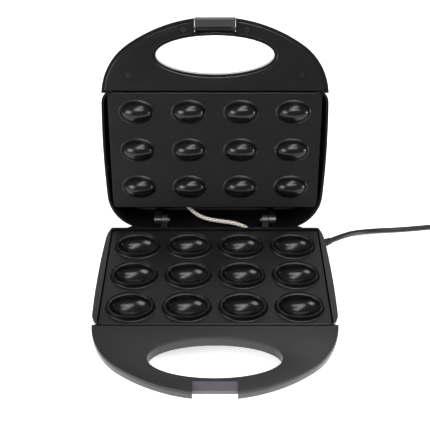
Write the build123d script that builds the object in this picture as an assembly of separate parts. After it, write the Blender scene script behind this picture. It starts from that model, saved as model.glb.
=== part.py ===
from build123d import *
import os
from math import cos, pi, radians, sin, tan

# Electric maker for nut-shaped filled pastries, modelled with its lid leaning open on its stop.
# Millimetres. +Z is up, +X is the user's right, -Y is the handle side, and Z = 0 is the table.
# While it is built, Y = 0 is the middle row of moulds; the finished model is centred at the end.

os.makedirs("parts", exist_ok=True)

# --- plan of the two housings -------------------------------------------------------------
BODY_HALF_WIDTH = 110.8        # at the widest point of the bowed sides
WIDEST_Y = -8.0                # where the sides are widest
SIDE_RADIUS = 890.0            # bow of the sides
NOSE_RADIUS = 150.0            # front of the handle
NOSE_Y = -127.2                # foremost point of the handle
REAR_Y = 82.0                  # rearmost line of the housings
FRONT_CORNER = 60.0
REAR_CORNER = 37.0
WALL = 2.2                     # housing wall
DRAFT = 4.0                    # degrees of mould draft on the walls
EDGE_ROUND = 9.0               # big outer edge of each housing
TUB_FRONT_Y = -61.0            # front wall of the deep part of each housing
TUB_FRONT_CORNER = 14.0

# --- heights -------------------------------------------------------------------------------
FOOT_HEIGHT = 4.0              # table to the underside of the base
BASE_RIM_Z = 42.0              # flat rim round the lower plate
PLATE_RECESS = 2.0             # rim down to the lower plate's face
PARTING_GAP = 1.0              # lid rim above base rim when shut
LID_HEIGHT = 37.0              # lid rim to the lid's crown
HANDLE_THICKNESS = 12.0
PANEL_THICKNESS = 2.6          # flat inner panel of each handle
STEP_Z = 29.0                  # shelf behind the base, under the open lid
BACK_WALL_Y = 62.5             # rear wall of the base above that shelf

# --- plates and moulds -----------------------------------------------------------------------
PLATE_WIDTH = 208.8
PLATE_FRONT_Y = -57.3
PLATE_REAR_Y = 60.3
PLATE_THICKNESS = 3.0
PLATE_CORNER = 3.0
PLATE_FIT = 0.4                # gap between a plate and the housing round it
COLUMN_PITCH = 51.0
ROW_PITCH = 38.0
COLUMNS = 4
ROWS = 3
MOULD_A = 18.6                 # half length of a mould's bowl
MOULD_B = 12.1                 # half width of a mould's bowl
MOULD_DEPTH = 10.8             # bowl below its lip
LIP_STEP = 1.7                 # lip wider than the bowl by this all round
LIP_DEPTH = 2.0
COLLAR_HEIGHT = 5.0            # collar round a mould, above the plate
COLLAR_RIM = 0.9               # its thickness at the top
COLLAR_FLARE = 1.0             # more at its foot
CUP_WALL = 2.4
PLATE_GAP = 0.3                # lid plate above the collars when shut
DOME_A = 15.7                  # half length of a dome on the lid plate
DOME_B = 10.3
DOME_HEIGHT = 9.9
DOME_FOOT = 1.6                # sloping foot ring round a dome
DOME_WALL = 2.6
DOME_FOOT_HEIGHT = 1.6         # from the plate's face down to the top of the foot ring

# --- handles and latch -------------------------------------------------------------------------
BASE_GRIP_A = 57.5             # half size of the base handle's oval opening
BASE_GRIP_B = 19.9
LID_GRIP_A = 56.2
LID_GRIP_B = 18.0
GRIP_Y = -92.5
GRIP_WALL = 2.0
PANEL_FIT = 0.3
PANEL_GROOVE = 2.8             # from a panel's rear edge to its plate
PANEL_SEAT = 1.2               # depth of the screws' recesses in the lid's panel
CHEEK = 1.8                    # walls at the sides of the latch's slot
LATCH_SLOT = 39.0              # width of the slot in the lid's handle
LATCH_FIT = 0.4                # side gap between the latch and its slot
LATCH_WALL = 3.0
LATCH_PIVOT_Y = -116.2
LATCH_PIVOT_Z = 50.5
LATCH_PIN_R = 1.5
LATCH_HUB_R = 3.2
LATCH_SPRING_ROOM = (7.0, 2.7)  # half length and radius of the room for the spring
SPRING_WIRE_R = 0.35
SPRING_LENGTH = 8.4
LATCH_TRAVEL = 25.0            # degrees the latch swings out
NOTCH_WIDTH = 37.6             # notch in the base handle for the catch
NOTCH_FIT = 0.5                # side gap between the latch and that notch
CATCH_REAR_Y = -115.8
CATCH_FRONT_Y = -121.7
CATCH_TOP_DROP = 5.0           # slope of the catch from the handle's face
CATCH_LIP = 5.0                # height of its front lip
HOOK_REACH = 4.4
HOOK_THICKNESS = 3.1
HOOK_CLEARANCE = 0.4           # hook under the catch's lip

# --- hinge -----------------------------------------------------------------------------------
HINGE_Y = 73.0
HINGE_Z = 42.0
HINGE_PIN_R = 2.0
HINGE_EAR_R = 6.0
BASE_EAR_X = 48.2              # inner face of a base ear
BASE_EAR_WIDTH = 6.2
EAR_GAP = 0.6
LID_EAR_WIDTH = 7.0
LID_OPEN = 114.0               # degrees from shut to the open stop
RUNNING_FIT = 0.04             # radial clearance on a pin

# --- heating and wiring --------------------------------------------------------------------------
ELEMENT_R = 3.2
ELEMENT_GAP = 0.1              # between the element and the plate
ELEMENT_END_X = 96.0
ELEMENT_BEND = 13.0
COLD_PIN_R = 1.2
COLD_PIN_LENGTH = 9.0
LUG_SIZE = (14.0, 12.0)        # cast lug that grips the element
LUG_FIT = 0.08
BOSS_X = COLUMN_PITCH          # screw bosses stand between the moulds
BOSS_Y = ROW_PITCH
PLATE_BOSS_R = 3.5
SHELL_BOSS_R = 4.5
SCREW_R = 2.0
SCREW_HOLE_R = 2.2
SCREW_HEAD_R = 3.8
SCREW_HEAD = 2.6
THREAD_FIT = 0.05
SHIELD_THICKNESS = 0.8
SHIELD_Z = 22.8                # underside of the base's heat shield
SHIELD_X = 101.4
SHIELD_FRONT_Y = -54.0
SHIELD_REAR_Y = 57.0
SHIELD_WALL = 9.0
LID_SHIELD_GAP = 14.0          # lid plate's back to its heat shield
THERMOSTAT_R = 8.0
THERMOSTAT_HEIGHT = 9.0
THERMOSTAT_HOLES = 24.0        # pitch of its two screws
THERMOSTAT_BOSS = 6.6          # length of the screws' bosses
THERMOSTAT_SEAT = 0.4          # relief in the casting round the body
CLIP_R = 3.7                   # outside of the clip round the thermal fuse
WIRE_R = 1.1
SLEEVE_R = 2.0                 # braided sleeve that crosses the hinge
SLEEVE_FIT = 0.5

# --- feet, lamps and small screws -----------------------------------------------------------------
FOOT_R = 7.0
FOOT_STEM_R = 2.4
FOOT_STEM = 3.0
FEET = [(84.0, -44.0), (-84.0, -44.0), (78.0, 58.0), (-78.0, 58.0)]
LAMP_X = 10.0
LAMP_Y = -40.0
LAMP_R = 4.0
LAMP_BODY_R = 3.0
PANEL_SCREWS = [(29.6, -115.8), (-29.6, -115.8), (82.9, -73.6), (-82.9, -73.6)]
PANEL_SCREW_R = 1.5
PANEL_SCREW_HEAD_R = 2.9
PANEL_BOSS_R = 4.2
PANEL_SCREW_LENGTH = 7.0

# --- power cord ------------------------------------------------------------------------------------
CORD_R = 2.9
EXIT_ANGLE = 27.0              # direction of the cord's exit on the rear corner, from +X
EXIT_Z = 15.0
RELIEF_LENGTH = 20.0
RELIEF_NECK_R = 4.2
RELIEF_ROOT_R = 5.2
RELIEF_TIP_R = 3.5
COIL_CENTRE = (293.0, 142.0)
COIL_RADIUS = 35.0             # middle of the turns
COIL_FIRST_Z = 3.5             # axis of the first turn's highest point
COIL_LAYER = 5.2               # height from one layer of turns to the next
TIE_THICKNESS = 0.5
PLUG_START = (330.6, 181.0, 13.0)
PLUG_LENGTH = 36.0
PLUG_HALF_WIDTH = 17.6
PLUG_HALF_HEIGHT = 13.0
PLUG_PIN_R = 2.4
PLUG_PIN_LENGTH = 19.0
PLUG_PIN_PITCH = 19.0
TAIL_INSET = 6.3               # inner end of the cord, behind the exit's face

# --- heights that follow ---------------------------------------------------------------------------
PLATE_Z = BASE_RIM_Z - PLATE_RECESS
LID_RIM_Z = BASE_RIM_Z + PARTING_GAP
LID_PLATE_Z = PLATE_Z + COLLAR_HEIGHT + PLATE_GAP
LID_TOP_Z = LID_RIM_Z + LID_HEIGHT
HANDLE_UNDER_Z = BASE_RIM_Z - HANDLE_THICKNESS
HANDLE_OVER_Z = LID_RIM_Z + HANDLE_THICKNESS
FLOOR_Z = FOOT_HEIGHT + WALL
SLOPE = tan(radians(DRAFT))
LID_SHIELD_Z = LID_PLATE_Z + PLATE_THICKNESS + LID_SHIELD_GAP
COIL_TOP = COIL_FIRST_Z + COIL_LAYER + CORD_R + 0.2
THERMOSTAT_FLANGE_Z = PLATE_Z - PLATE_THICKNESS - THERMOSTAT_BOSS
TERMINALS = (30.0, 62.0, 54.0, 66.0, FLOOR_Z, FLOOR_Z + 12.0)   # x, y and z limits
SLEEVE_HOLE = (37.0, 66.2)
SLEEVE_ROUTE = [(-35.6, 96.0, 46.4), (-28.7, 91.0, 40.5), (-20.9, 85.0, 36.6),
                (-10.4, 80.0, 35.7), (3.1, 76.0, 37.2), (16.5, 72.5, 38.6),
                (27.3, 69.2, 36.7), (36.2, 66.9, 33.5), (37.0, 66.2, 27.0)]
FAR = 200.0                    # reach of the blocks that trim a piece


def mould_places():
    """Centres of the moulds, back row first."""
    across = [(c - (COLUMNS - 1) / 2) * COLUMN_PITCH for c in range(COLUMNS)]
    along = [((ROWS - 1) / 2 - r) * ROW_PITCH for r in range(ROWS)]
    return [(x, y) for y in along for x in across]


def corners(x, y):
    return [(sx * x, sy * y) for sx in (1, -1) for sy in (1, -1)]


def block(x0, x1, y0, y1, z0, z1):
    """A box from its limits."""
    size = Box(x1 - x0, y1 - y0, z1 - z0)
    return Pos((x0 + x1) / 2, (y0 + y1) / 2, (z0 + z1) / 2) * size


def rod(x, y, z0, z1, r):
    """An upright cylinder."""
    return Pos(x, y, (z0 + z1) / 2) * Cylinder(r, z1 - z0)


def rod_x(x0, x1, y, z, r):
    """A cylinder along X."""
    return Pos((x0 + x1) / 2, y, z) * Rot(0, 90, 0) * Cylinder(r, x1 - x0)


def oval(a, b, x, y, z0, z1):
    """An upright elliptical prism."""
    return extrude(Pos(x, y, z0) * Ellipse(a, b), z1 - z0)


def plan(inset=0.0, front=None):
    """Outline of a housing, drawn in by inset. With front it stops at that line."""
    side = SIDE_RADIUS - inset
    right = Pos(BODY_HALF_WIDTH - SIDE_RADIUS, WIDEST_Y) * Circle(side)
    left = Pos(SIDE_RADIUS - BODY_HALF_WIDTH, WIDEST_Y) * Circle(side)
    reach = 2 * NOSE_RADIUS
    if front is None:
        nose = Pos(0, NOSE_Y + NOSE_RADIUS) * Circle(NOSE_RADIUS - inset)
        low, front_corner = NOSE_Y - reach, FRONT_CORNER
    else:
        nose = Rectangle(2 * reach, 2 * reach)
        low, front_corner = front + inset, TUB_FRONT_CORNER
    high = REAR_Y - inset
    band = Pos(0, (low + high) / 2) * Rectangle(2 * reach, high - low)
    face = (right & left & nose & band).faces()[0]
    points = face.vertices().sort_by(Axis.Y)
    face = fillet(points[-2:], REAR_CORNER - inset)
    points = face.vertices().sort_by(Axis.Y)
    return fillet(points[:2], front_corner - inset)


def drafted(outline, z, height, direction):
    """The outline pulled up (1) or down (-1) with the mould's draft."""
    face = Pos(0, 0, z) * outline
    return extrude(face, height, dir=(0, 0, direction), taper=DRAFT)


def ellipsoid(a, b, c, x, y, z):
    ball = Sphere(10)
    return Pos(x, y, z) * scale(ball, by=(a / 10, b / 10, c / 10))


def path_tube(points, radii, r):
    """A round tube along straight runs joined by tangent arcs."""
    path = FilletPolyline(*points, radius=radii)
    start = Plane(origin=path @ 0, z_dir=path % 0)
    return sweep(start * Circle(r), path=path)


def bend_radii(points, share=0.45):
    """The largest arc that each corner's runs allow."""
    radii = []
    for a, b, c in zip(points, points[1:], points[2:]):
        before, after = Vector(*b) - Vector(*a), Vector(*c) - Vector(*b)
        turn = radians(before.get_angle(after))
        radii.append(share * min(before.length, after.length) / tan(turn / 2))
    return radii


def group(pieces):
    """Separate solids kept together in one node."""
    return Compound([solid for piece in pieces for solid in piece.solids()])


def lid_open(shape):
    """A piece of the shut lid, swung to the open stop."""
    return Pos(0, HINGE_Y, HINGE_Z) * Rot(-LID_OPEN, 0, 0) * Pos(0, -HINGE_Y, -HINGE_Z) * shape


# --- base housing ------------------------------------------------------------------------------------
def exit_frame():
    """Plane at the rear corner's wall, looking out along the cord."""
    inset = SLOPE * (BASE_RIM_Z - EXIT_Z)
    angle = radians(EXIT_ANGLE)
    out = Vector(cos(angle), sin(angle), 0)
    side_x = BODY_HALF_WIDTH - SIDE_RADIUS
    corner_y = REAR_Y - REAR_CORNER
    lean = ((SIDE_RADIUS - REAR_CORNER) ** 2 - (corner_y - WIDEST_Y) ** 2) ** 0.5
    centre = Vector(side_x + lean, corner_y, EXIT_Z)
    return Plane(origin=centre + out * (REAR_CORNER - inset), z_dir=out)


def base_shell():
    depth = BASE_RIM_Z - FOOT_HEIGHT
    tub = drafted(plan(0, TUB_FRONT_Y), BASE_RIM_Z, depth, -1)
    tub = fillet(tub.faces().sort_by(Axis.Z)[0].edges(), EDGE_ROUND)
    tub -= block(-FAR, FAR, BACK_WALL_Y, FAR, STEP_Z, 100)
    inner = drafted(plan(WALL, TUB_FRONT_Y), BASE_RIM_Z, depth - WALL, -1)
    inner = fillet(inner.faces().sort_by(Axis.Z)[0].edges(), EDGE_ROUND - WALL)
    inner -= block(-FAR, FAR, BACK_WALL_Y - WALL, FAR, STEP_Z - WALL, 100)
    inner -= block(-FAR, FAR, -FAR, FAR, BASE_RIM_Z - WALL, 100)
    panel_z = BASE_RIM_Z - PANEL_THICKNESS
    grip = extrude(Pos(0, 0, HANDLE_UNDER_Z) * plan(), panel_z - HANDLE_UNDER_Z)
    grip = fillet(grip.faces().sort_by(Axis.Z)[0].edges(), 2.5)
    grip -= block(-FAR, FAR, TUB_FRONT_Y + 4, FAR, 0, 100)
    trough = extrude(Pos(0, 0, HANDLE_UNDER_Z + WALL) * plan(WALL), HANDLE_THICKNESS)
    trough -= block(-FAR, FAR, TUB_FRONT_Y - WALL, FAR, 0, 100)
    shell = tub + grip
    shell -= block(-FAR, FAR, -FAR, PLATE_FRONT_Y - PLATE_FIT, panel_z, 100)
    shell -= inner
    shell -= trough - oval(BASE_GRIP_A + GRIP_WALL, BASE_GRIP_B + GRIP_WALL, 0, GRIP_Y, 0, 100)
    shell -= oval(BASE_GRIP_A, BASE_GRIP_B, 0, GRIP_Y, 0, 100)
    shell -= plate_pocket(PLATE_Z - PLATE_THICKNESS - PLATE_FIT, BASE_RIM_Z + 1)
    notch = NOTCH_WIDTH / 2
    shell -= block(-notch, notch, -FAR, CATCH_REAR_Y, 0, 100)
    for side in (1, -1):
        shell += block(*sorted((side * notch, side * (notch + WALL))),
                       NOSE_Y + 2.4, CATCH_REAR_Y + 1, HANDLE_UNDER_Z + 1, panel_z)
        ear_x = sorted((side * BASE_EAR_X, side * (BASE_EAR_X + BASE_EAR_WIDTH)))
        ear = rod_x(*ear_x, HINGE_Y, HINGE_Z, HINGE_EAR_R)
        ear += block(*ear_x, BACK_WALL_Y - WALL, HINGE_Y, HINGE_Z - HINGE_EAR_R + 0.3, HINGE_Z + 2)
        shell += ear
        shell -= rod_x(*ear_x, HINGE_Y, HINGE_Z, HINGE_PIN_R + RUNNING_FIT)
    for x, y in corners(BOSS_X, BOSS_Y):
        shell += rod(x, y, FOOT_HEIGHT + 1, SHIELD_Z, SHELL_BOSS_R)
        shell -= rod(x, y, 0, SHIELD_Z + 1, SCREW_HOLE_R)
        shell -= rod(x, y, 0, FLOOR_Z, SCREW_HEAD_R + 0.3)
        shell += rod(x, y, FLOOR_Z, FLOOR_Z + 2, SHELL_BOSS_R) - rod(x, y, 0, 50, SCREW_HOLE_R)
    for x, y in FEET:
        shell -= rod(x, y, 0, FLOOR_Z + 1, FOOT_STEM_R + THREAD_FIT)
    for row in range(5):
        y = -22 + 11 * row
        shell -= block(-22, 22, y - 1.3, y + 1.3, 0, FLOOR_Z + 0.5)
    shell -= exit_frame() * Cylinder(RELIEF_NECK_R + THREAD_FIT, 30)
    shell -= rod(SLEEVE_HOLE[0], SLEEVE_HOLE[1], STEP_Z - 4, STEP_Z + 1,
                 SLEEVE_R + SLEEVE_FIT)
    return shell


def handle_panel(inset, a, b, z0, z1):
    """Flat inner panel of a handle, with its oval opening."""
    face = Pos(0, 0, z0) * plan(inset)
    panel = extrude(face, z1 - z0)
    panel -= block(-FAR, FAR, PLATE_FRONT_Y - PANEL_GROOVE, FAR, 0, FAR)
    return panel - oval(a, b, 0, GRIP_Y, z0 - 1, z1 + 1)


def base_handle_panel():
    z0 = BASE_RIM_Z - PANEL_THICKNESS
    panel = handle_panel(0.2, BASE_GRIP_A, BASE_GRIP_B, z0, BASE_RIM_Z)
    notch = NOTCH_WIDTH / 2
    panel -= block(-notch, notch, -FAR, CATCH_REAR_Y, 0, 100)
    rim = panel.faces().sort_by(Axis.Z)[-1]
    return fillet(rim.edges().filter_by(GeomType.LINE, reverse=True), 0.8)


def latch_catch():
    half = NOTCH_WIDTH / 2 - 0.1
    low = BASE_RIM_Z - CATCH_TOP_DROP
    outline = Polyline((CATCH_REAR_Y - 0.1, BASE_RIM_Z), (CATCH_FRONT_Y, low),
                       (CATCH_FRONT_Y, low - CATCH_LIP), (CATCH_REAR_Y - 0.1, low - CATCH_LIP),
                       close=True)
    face = Plane(origin=(-half, 0, 0), x_dir=(0, 1, 0), z_dir=(1, 0, 0)) * make_face(outline)
    return extrude(face, 2 * half)


# --- cast plates ----------------------------------------------------------------------------------------
def mould_tool():
    """What is cut out of the plate for one mould: a stepped lip and the bowl under it."""
    lip_z = PLATE_Z + COLLAR_HEIGHT
    centre_z = lip_z - LIP_DEPTH
    bowl = ellipsoid(MOULD_A, MOULD_B, MOULD_DEPTH, 0, 0, centre_z)
    bowl &= block(-50, 50, -50, 50, 0, centre_z)
    return bowl + oval(MOULD_A + LIP_STEP, MOULD_B + LIP_STEP, 0, 0, centre_z, lip_z + 1)


def base_mould_plate():
    half = PLATE_WIDTH / 2
    plate = block(-half, half, PLATE_FRONT_Y, PLATE_REAR_Y, PLATE_Z - PLATE_THICKNESS, PLATE_Z)
    plate = fillet(plate.edges().filter_by(Axis.Z), PLATE_CORNER)
    plate = fillet(plate.faces().sort_by(Axis.Z)[-1].edges(), 1.0)
    rim_a = MOULD_A + LIP_STEP + COLLAR_RIM
    rim_b = MOULD_B + LIP_STEP + COLLAR_RIM
    foot = Pos(0, 0, PLATE_Z - 0.5) * Ellipse(rim_a + COLLAR_FLARE, rim_b + COLLAR_FLARE)
    collar = loft([foot, Pos(0, 0, PLATE_Z + COLLAR_HEIGHT) * Ellipse(rim_a, rim_b)], ruled=True)
    centre_z = PLATE_Z + COLLAR_HEIGHT - LIP_DEPTH
    cup = ellipsoid(MOULD_A + CUP_WALL, MOULD_B + CUP_WALL, MOULD_DEPTH + CUP_WALL, 0, 0, centre_z)
    cup &= block(-50, 50, -50, 50, 0, PLATE_Z - 1)
    solid, tool = collar + cup, mould_tool()
    under = PLATE_Z - PLATE_THICKNESS
    for x, y in corners(BOSS_X, BOSS_Y):
        boss_end = SHIELD_Z + SHIELD_THICKNESS
        plate += rod(x, y, boss_end, under, PLATE_BOSS_R)
        plate -= rod(x, y, boss_end - 1, boss_end + 12, SCREW_R + THREAD_FIT)
    for sign in (1, -1):
        y = sign * THERMOSTAT_HOLES / 2
        plate += rod(0, y, THERMOSTAT_FLANGE_Z, under, 2.8)
        plate -= rod(0, y, 0, under - 0.5, PANEL_SCREW_R + THREAD_FIT)
    plate = add_lugs(plate, under, -1)
    for x, y in mould_places():
        plate += Pos(x, y, 0) * solid
    plate -= rod(0, 0, 0, under, THERMOSTAT_R + THERMOSTAT_SEAT)
    for x, y in mould_places():
        plate -= Pos(x, y, 0) * tool
    return plate


def element_z(face_z, direction):
    return face_z + direction * (ELEMENT_R + ELEMENT_GAP)


def plate_pocket(z0, z1):
    """Room for a plate and its gap all round."""
    half = PLATE_WIDTH / 2 + PLATE_FIT
    room = block(-half, half, PLATE_FRONT_Y - PLATE_FIT, PLATE_REAR_Y + PLATE_FIT, z0, z1)
    return fillet(room.edges().filter_by(Axis.Z), PLATE_CORNER)


def add_lugs(plate, face_z, direction):
    """Four cast lugs on a plate's hidden side that grip the heating element."""
    z = element_z(face_z, direction)
    outer = z + direction * (ELEMENT_R + 1.4)
    for x, y in corners(BOSS_X, ROW_PITCH / 2):
        dx, dy = LUG_SIZE[0] / 2, LUG_SIZE[1] / 2
        plate += block(x - dx, x + dx, y - dy, y + dy, *sorted((face_z, outer)))
        plate -= rod_x(x - dx - 1, x + dx + 1, y, z, ELEMENT_R + LUG_FIT)
    return plate


def lid_mould_plate():
    half = PLATE_WIDTH / 2
    z0, z1 = LID_PLATE_Z, LID_PLATE_Z + PLATE_THICKNESS
    plate = block(-half, half, PLATE_FRONT_Y, PLATE_REAR_Y, z0, z1)
    plate = fillet(plate.edges().filter_by(Axis.Z), PLATE_CORNER)
    plate = fillet(plate.faces().sort_by(Axis.Z)[0].edges(), 1.0)
    below = block(-50, 50, -50, 50, 0, z0 + 0.5)
    dome = ellipsoid(DOME_A, DOME_B, DOME_HEIGHT, 0, 0, z0) & below
    high = Pos(0, 0, z0 + 0.2) * Ellipse(DOME_A + DOME_FOOT, DOME_B + DOME_FOOT)
    low = Pos(0, 0, z0 - DOME_FOOT_HEIGHT) * Ellipse(DOME_A - 0.6, DOME_B - 0.6)
    dome += loft([low, high], ruled=True)
    above = block(-50, 50, -50, 50, z0 - DOME_HEIGHT, z1 + 1)
    hollow_a, hollow_b = DOME_A - DOME_WALL, DOME_B - DOME_WALL
    hollow = ellipsoid(hollow_a, hollow_b, DOME_HEIGHT - DOME_WALL, 0, 0, z0)
    hollow &= block(-50, 50, -50, 50, 0, z0)
    hollow += oval(hollow_a, hollow_b, 0, 0, z0, z1 + 1)
    for x, y in corners(BOSS_X, BOSS_Y):
        plate += rod(x, y, z1, LID_SHIELD_Z, PLATE_BOSS_R)
        plate -= rod(x, y, LID_SHIELD_Z - 10, LID_SHIELD_Z + 1, SCREW_R + THREAD_FIT)
    plate = add_lugs(plate, z1, 1)
    for x, y in mould_places():
        plate += Pos(x, y, 0) * dome
    for x, y in mould_places():
        plate -= Pos(x, y, 0) * (hollow & above)
    return plate


# --- heating ---------------------------------------------------------------------------------------------
def heating_element(face_z, direction):
    z, y = element_z(face_z, direction), ROW_PITCH / 2
    far, end = ELEMENT_END_X, -ELEMENT_END_X + 1
    tube = path_tube([(end, -y, z), (far, -y, z), (far, y, z), (end, y, z)],
                     [ELEMENT_BEND, ELEMENT_BEND], ELEMENT_R)
    for sign in (1, -1):
        tube += rod_x(end - COLD_PIN_LENGTH, end, sign * y, z, COLD_PIN_R)
    return tube


def heat_shield(sheet_z, direction):
    """Folded tray of sheet metal behind a plate, open towards it."""
    z0, z1 = sorted((sheet_z, sheet_z + direction * (SHIELD_THICKNESS + SHIELD_WALL)))
    t = SHIELD_THICKNESS
    tray = block(-SHIELD_X, SHIELD_X, SHIELD_FRONT_Y, SHIELD_REAR_Y, z0, z1)
    inside = (z0 + t, z1 + 1) if direction > 0 else (z0 - 1, z1 - t)
    tray -= block(-SHIELD_X + t, SHIELD_X - t, SHIELD_FRONT_Y + t, SHIELD_REAR_Y - t, *inside)
    for x, y in corners(BOSS_X, BOSS_Y):
        tray -= rod(x, y, z0 - 1, z1 + 1, SCREW_HOLE_R)
    for sign in (1, -1):
        y = sign * ROW_PITCH / 2
        tray -= block(-SHIELD_X - 1, -SHIELD_X + t + 1, y - 5, y + 5, *inside)
    return tray


def plate_screw(x, y, head_z, tip_z):
    """A pan-head screw whose head sits at head_z and whose tip is at tip_z."""
    away = 1 if tip_z > head_z else -1
    head = sorted((head_z - away * SCREW_HEAD, head_z))
    shank = sorted((head_z, tip_z))
    screw = rod(x, y, *head, SCREW_HEAD_R) + rod(x, y, *shank, SCREW_R)
    outer = head[0] if away > 0 else head[1]
    for angle in (0, 90):
        slot = Rot(0, 0, angle) * Box(4.4, 0.9, 2.4)
        screw -= Pos(x, y, outer) * slot
    return screw


def thermostat():
    top = PLATE_Z - PLATE_THICKNESS - ELEMENT_GAP
    low = top - THERMOSTAT_HEIGHT
    body = rod(0, 0, low, top, THERMOSTAT_R)
    flange_z = THERMOSTAT_FLANGE_Z
    flange = block(-4.5, 4.5, -14.6, 14.6, flange_z - SHIELD_THICKNESS, flange_z)
    for sign in (1, -1):
        flange -= rod(0, sign * THERMOSTAT_HOLES / 2, 0, 50, 1.7)
        body += block(*sorted((sign * 3.6, sign * 4.4)), -3.1, 3.1, low - 3.2, low)
    return body + flange


def thermostat_screws():
    screws = []
    head_z = THERMOSTAT_FLANGE_Z - SHIELD_THICKNESS
    for sign in (1, -1):
        y = sign * THERMOSTAT_HOLES / 2
        head = rod(0, y, head_z - 1.8, head_z, 2.6)
        screws.append(head + rod(0, y, head_z, head_z + 6, PANEL_SCREW_R))
    return group(screws)


def fuse_place():
    return -COLUMN_PITCH, 0.0, PLATE_Z - PLATE_THICKNESS - CLIP_R


def thermal_fuse():
    x, y, z = fuse_place()
    sleeve = Pos(x, y, z) * Rot(90, 0, 0) * Cylinder(2.7, 18)
    return sleeve + Pos(x, y, z) * Rot(90, 0, 0) * Cylinder(0.6, 24)


def fuse_clip():
    x, y, z = fuse_place()
    top = PLATE_Z - PLATE_THICKNESS
    band = Pos(x, y, z) * Rot(90, 0, 0) * (Cylinder(CLIP_R, 6) - Cylinder(CLIP_R - 0.9, 7))
    foot = block(x + 0.6, x + CLIP_R + 2.8, -3, 3, top - 0.6, top)
    return band + foot


def terminal_block():
    x0, x1, y0, y1, z0, z1 = TERMINALS
    body = block(x0, x1, y0, y1, z0, z1)
    ways = 3
    pitch = (x1 - x0) / ways
    for n in range(ways):
        x = x0 + pitch * (n + 0.5)
        body -= rod(x, (y0 + y1) / 2, z1 - 4, z1 + 1, 2.0)
        body -= Pos(x, (y0 + y1) / 2, (z0 + z1) / 2 - 1) * Rot(90, 0, 0) * Cylinder(1.7, 40)
        body -= block(x + pitch / 2 - 0.6, x + pitch / 2 + 0.6, y0 - 1, y1 + 1, z1 - 3, z1 + 1)
    return body


def rubber_feet():
    feet = []
    for x, y in FEET:
        foot = rod(x, y, 0, FOOT_HEIGHT, FOOT_R)
        foot = fillet(foot.faces().sort_by(Axis.Z)[0].edges(), 1.2)
        feet.append(foot + rod(x, y, FOOT_HEIGHT, FOOT_HEIGHT + FOOT_STEM, FOOT_STEM_R))
    return group(feet)


def hinge_pins():
    pins = []
    far = BASE_EAR_X + BASE_EAR_WIDTH + EAR_GAP + LID_EAR_WIDTH
    for side in (1, -1):
        span = sorted((side * (BASE_EAR_X - 1.8), side * (far + 0.4)))
        head = sorted((side * (BASE_EAR_X - 1.8), side * (BASE_EAR_X - 0.1)))
        pin = rod_x(*span, HINGE_Y, HINGE_Z, HINGE_PIN_R)
        pins.append(pin + rod_x(*head, HINGE_Y, HINGE_Z, HINGE_PIN_R + 1.4))
    return group(pins)


# --- power cord ---------------------------------------------------------------------------------------------
def strain_relief():
    frame = exit_frame()
    tail = Cone(RELIEF_ROOT_R, RELIEF_TIP_R, RELIEF_LENGTH - 0.8)
    tail = Pos(0, 0, RELIEF_LENGTH / 2 + 0.4) * tail
    neck = Pos(0, 0, -2.6) * Cylinder(RELIEF_NECK_R, 7.2)
    collar = Pos(0, 0, -5.4) * Cylinder(RELIEF_ROOT_R + 0.2, 1.6)
    relief = tail + neck + collar
    for n in range(5):
        z = 4.0 + 3.4 * n
        ring = Cylinder(8, 1.1) - Cylinder(RELIEF_ROOT_R - 0.085 * z - 0.9, 2)
        relief -= Pos(0, 0, z) * ring
    return frame * relief


def cord_points():
    frame = exit_frame()
    tip = frame.origin + frame.z_dir * RELIEF_LENGTH
    straight = tip + frame.z_dir * 12.0
    return [(tip.X, tip.Y, tip.Z), (straight.X, straight.Y, straight.Z), (147.5, 85.5, 10.6),
            (161.5, 92.6, 5.6), (178.0, 97.0, 2.9), (200.0, 98.2, 2.9), (222.0, 100.6, 2.9),
            (240.0, 103.0, 2.9), (267.5, 104.6, 3.0), (293.0, 104.1, 3.4)]


def plug_cord_points():
    return [(328.0, 140.0, 8.7), (328.6, 153.0, 9.2), (330.6, 168.0, 13.0), PLUG_START]


def report_cord(name, points, radii, tube):
    path = FilletPolyline(*points, radius=radii)
    section = pi * CORD_R ** 2
    print(name, "radii", [round(r, 1) for r in radii], "length", round(path.length, 1),
          "volume ratio", round(tube.volume / (section * path.length), 4))


def cord_tube(name, points):
    radii = bend_radii(points)
    tube = path_tube(points, radii, CORD_R)
    report_cord(name, points, radii, tube)
    return tube


def cord_tie():
    x, y = COIL_CENTRE[0] - COIL_RADIUS, COIL_CENTRE[1]
    half, top, t = 2 * CORD_R + 0.6, COIL_TOP + 0.2, TIE_THICKNESS
    outer = block(x - half - t, x + half + t, y - 4, y + 4, 0, top + t)
    return outer - block(x - half, x + half, y - 5, y + 5, t, top)


def power_cord_coil():
    half = 2 * CORD_R + 0.2
    ring = rod(*COIL_CENTRE, 0.0, COIL_TOP, COIL_RADIUS + half)
    ring -= rod(*COIL_CENTRE, -1, COIL_TOP + 1, COIL_RADIUS - half)
    ring = fillet(ring.faces().sort_by(Axis.Z)[-1].edges(), 3.0)
    x, y = COIL_CENTRE[0] - COIL_RADIUS, COIL_CENTRE[1]
    return ring - block(x - 10, x + 10, y - 5, y + 5, -1, TIE_THICKNESS + 0.1)


def plug_body():
    x, y, z = PLUG_START
    grip = Plane(origin=(x, y, z), z_dir=(0, 1, 0), x_dir=(1, 0, 0))
    wide, high = PLUG_HALF_WIDTH, PLUG_HALF_HEIGHT
    sections = [(4.2, 4.2, 0.0), (8.0, 7.0, 7.0), (wide - 3, high - 2.6, PLUG_LENGTH / 2),
                (wide, high, PLUG_LENGTH - 7), (wide, high, PLUG_LENGTH)]
    faces = [grip * Pos(0, 0, d) * RectangleRounded(2 * w, 2 * h, min(w, h) * 0.8)
             for w, h, d in sections]
    body = loft(faces, ruled=True)
    for side in (1, -1):
        hole = Cylinder(PLUG_PIN_R + THREAD_FIT, 12)
        body -= grip * Pos(side * PLUG_PIN_PITCH / 2, 0, PLUG_LENGTH) * hole
    return body


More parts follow.
